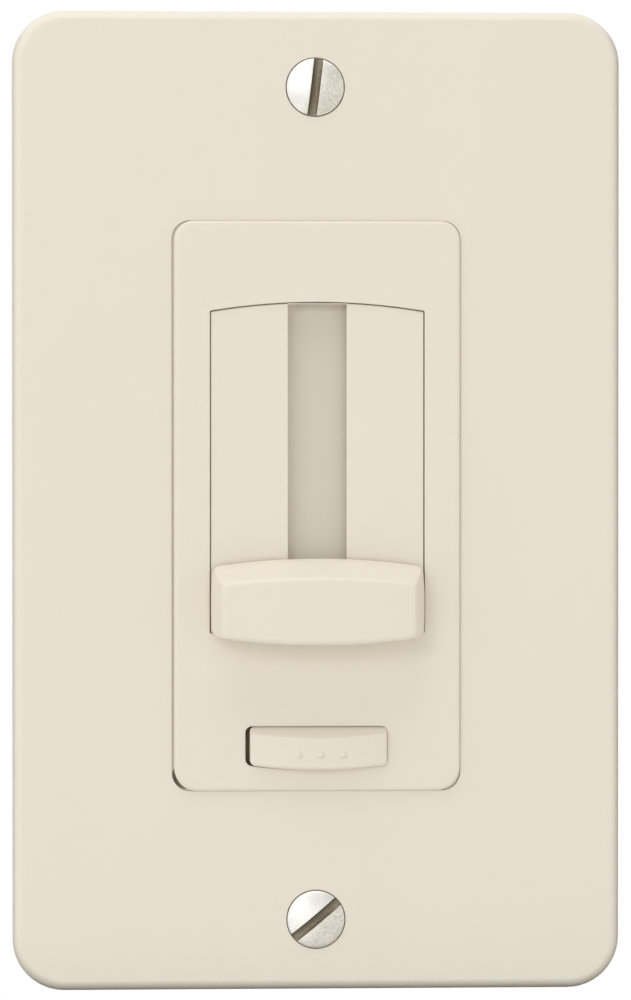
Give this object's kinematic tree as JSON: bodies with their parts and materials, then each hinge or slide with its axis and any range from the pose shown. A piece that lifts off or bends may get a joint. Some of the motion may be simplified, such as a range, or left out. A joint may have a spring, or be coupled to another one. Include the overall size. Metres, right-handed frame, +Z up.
{
  "type": "slide dimmer switch",
  "caption": "Ivory wall dimmer with a wide slide knob in an arched window, a push button below it, a screwed wall plate and a housing behind for the wall box.",
  "frame": {"origin": "midway between the two box screws, on the plane of the wall", "axes": "+Z up, -Y out of the wall towards the user, +Y into the wall box, X across"},
  "size_m": [0.0706, 0.0424, 0.1136],
  "materials": {
    "ivory_plastic": "satin moulded thermoplastic",
    "ivory_moulding": "satin moulded thermoplastic",
    "nickel": "nickel plate, lightly mottled",
    "zinc_steel": "zinc-plated",
    "green_screw": "green dyed",
    "red_fibre": "pressed fibre",
    "fish_paper": "calendered",
    "black_plastic": "moulded thermoset",
    "board": "phenolic laminate",
    "phenolic": "phenolic laminate",
    "carbon": "printed carbon",
    "white_nylon": "moulded nylon",
    "brass": "stamped",
    "tinned": "tinned",
    "spring_steel": "drawn wire",
    "epoxy": "moulded epoxy",
    "mica": "ground pad",
    "ferrite": "painted iron powder",
    "enamelled_copper": "enamelled copper wire",
    "capacitor_red": "dipped epoxy",
    "resistor_tan": "lacquered",
    "diac_blue": "lacquered",
    "solder": "bright solder"
  },
  "bodies": {
    "device": {"wallplate": "ivory_plastic", "wallplate_screws": "nickel", "bezel": "ivory_moulding", "track_panel": "ivory_moulding", "track_floor": "ivory_moulding", "yoke": "zinc_steel", "box_screws": "zinc_steel", "screw_retainers": "red_fibre", "ground_screw": "green_screw", "insulating_sheet": "fish_paper", "rear_housing": "black_plastic", "housing_screws": "zinc_steel", "circuit_board": "board", "pot_frame": "tinned", "pot_resistor_board": "phenolic", "pot_tracks": "carbon", "switch_case": "black_plastic", "switch_cover": "white_nylon", "switch_spring": "spring_steel", "switch_terminals": "brass", "triac_body": "epoxy", "triac_tab": "tinned", "triac_leads": "tinned", "triac_insulator": "mica", "triac_screw": "zinc_steel", "choke_core": "ferrite", "choke_winding": "enamelled_copper", "film_capacitors": "capacitor_red", "resistors": "resistor_tan", "diac": "diac_blue", "component_leads": "tinned", "solder_joints": "solder", "terminal_straps": "brass", "terminal_clamps": "brass", "terminal_screws": "brass"},
    "slider": {"slide_knob": "ivory_moulding", "slide_carrier": "ivory_moulding", "pot_wiper": "white_nylon", "pot_wiper_contacts": "brass"},
    "button": {"push_button": "ivory_moulding", "switch_plunger": "white_nylon", "switch_bridge_contact": "brass"}
  },
  "joints": [
    {"name": "dim_slide", "type": "slide", "parent": "device", "child": "slider", "axis": [0, 0, 1], "range_m": [0, 0.03]},
    {"name": "button_press", "type": "slide", "parent": "device", "child": "button", "axis": [0, 1, 0], "range_m": [0, 0.0018], "stiffness_N_per_m": 800, "springref_m": -0.001, "deforming": ["switch_spring"]}
  ]
}
